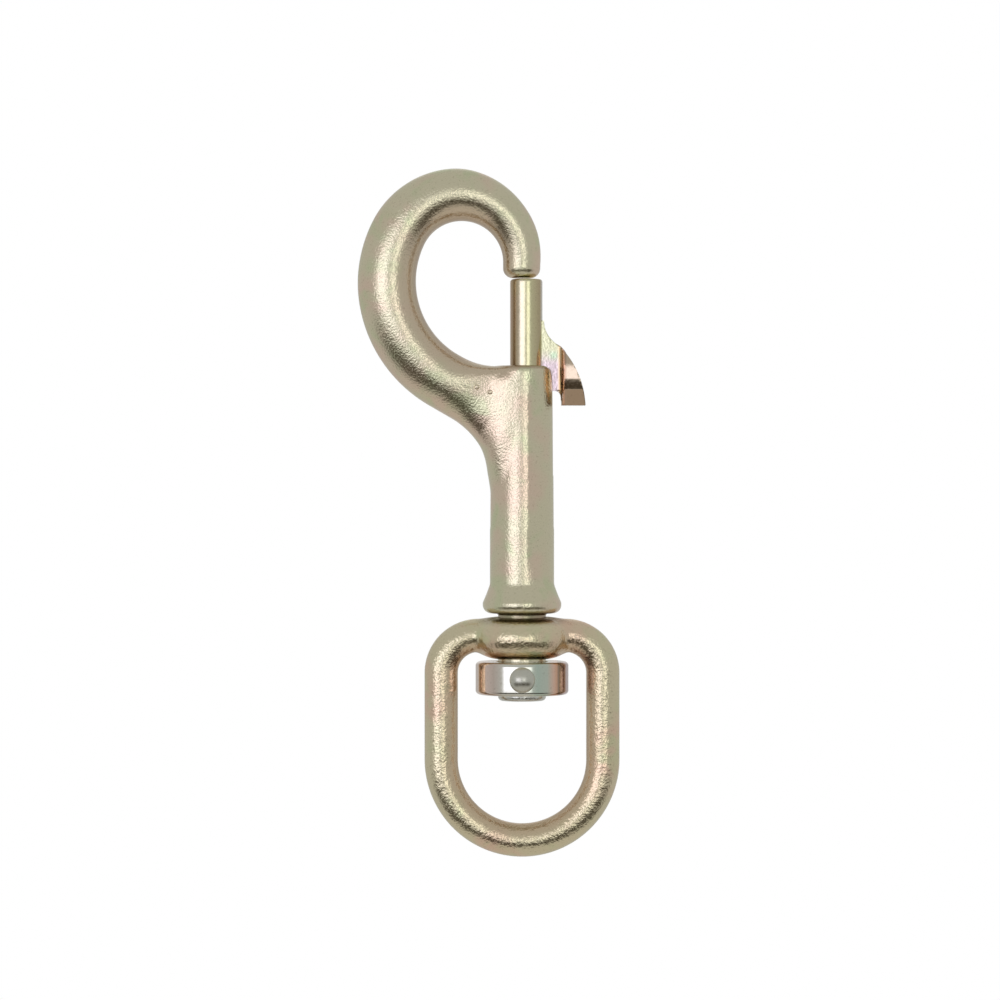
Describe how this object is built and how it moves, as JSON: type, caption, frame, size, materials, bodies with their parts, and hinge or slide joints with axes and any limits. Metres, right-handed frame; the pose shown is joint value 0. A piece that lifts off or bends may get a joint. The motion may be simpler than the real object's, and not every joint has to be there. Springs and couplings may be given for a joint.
{
  "type": "swivel hook",
  "caption": "Forged swivel hook: a round-bar hook shut by a spring plunger with a thumb lever, turning on a D-shaped strap eye.",
  "frame": {"origin": "centre of the eye's round bow, on the swivel axis", "axes": "+Z along the swivel axis from the eye to the hook, +X towards the plunger's thumb lever, so the hook's back is on -X and its plane is XZ"},
  "size_m": [0.0518, 0.0208, 0.1362],
  "materials": {
    "plated_forging": "yellow zinc plate over a shot-blasted forging",
    "plated_eye": "yellow zinc plate over a shot-blasted bent bar",
    "plated_plunger": "yellow zinc plate over a turned rod",
    "plated_lever": "iridescent yellow zinc plate",
    "clear_zinc": "clear zinc plate over a turned ring",
    "rivet_steel": "dull zinc plate over a headed rivet",
    "spring_steel": "drawn wire"
  },
  "bodies": {
    "eye": {"swivel_eye": "plated_eye"},
    "hook": {"hook_body": "plated_forging", "retaining_collar": "clear_zinc", "collar_rivet": "rivet_steel", "plunger_spring": "spring_steel"},
    "latch": {"plunger": "plated_plunger", "thumb_lever": "plated_lever", "lever_pin": "rivet_steel"}
  },
  "joints": [
    {"name": "swivel", "type": "hinge", "parent": "eye", "child": "hook", "pos_m": [0, 0, 0.02395], "axis": [0, 0, 1], "continuous": true},
    {"name": "plunger_slide", "type": "slide", "parent": "hook", "child": "latch", "axis": [0, 0, -1], "range_m": [0, 0.016], "stiffness_N_per_m": 780, "springref_m": -0.006, "deforming": ["plunger_spring"]}
  ]
}
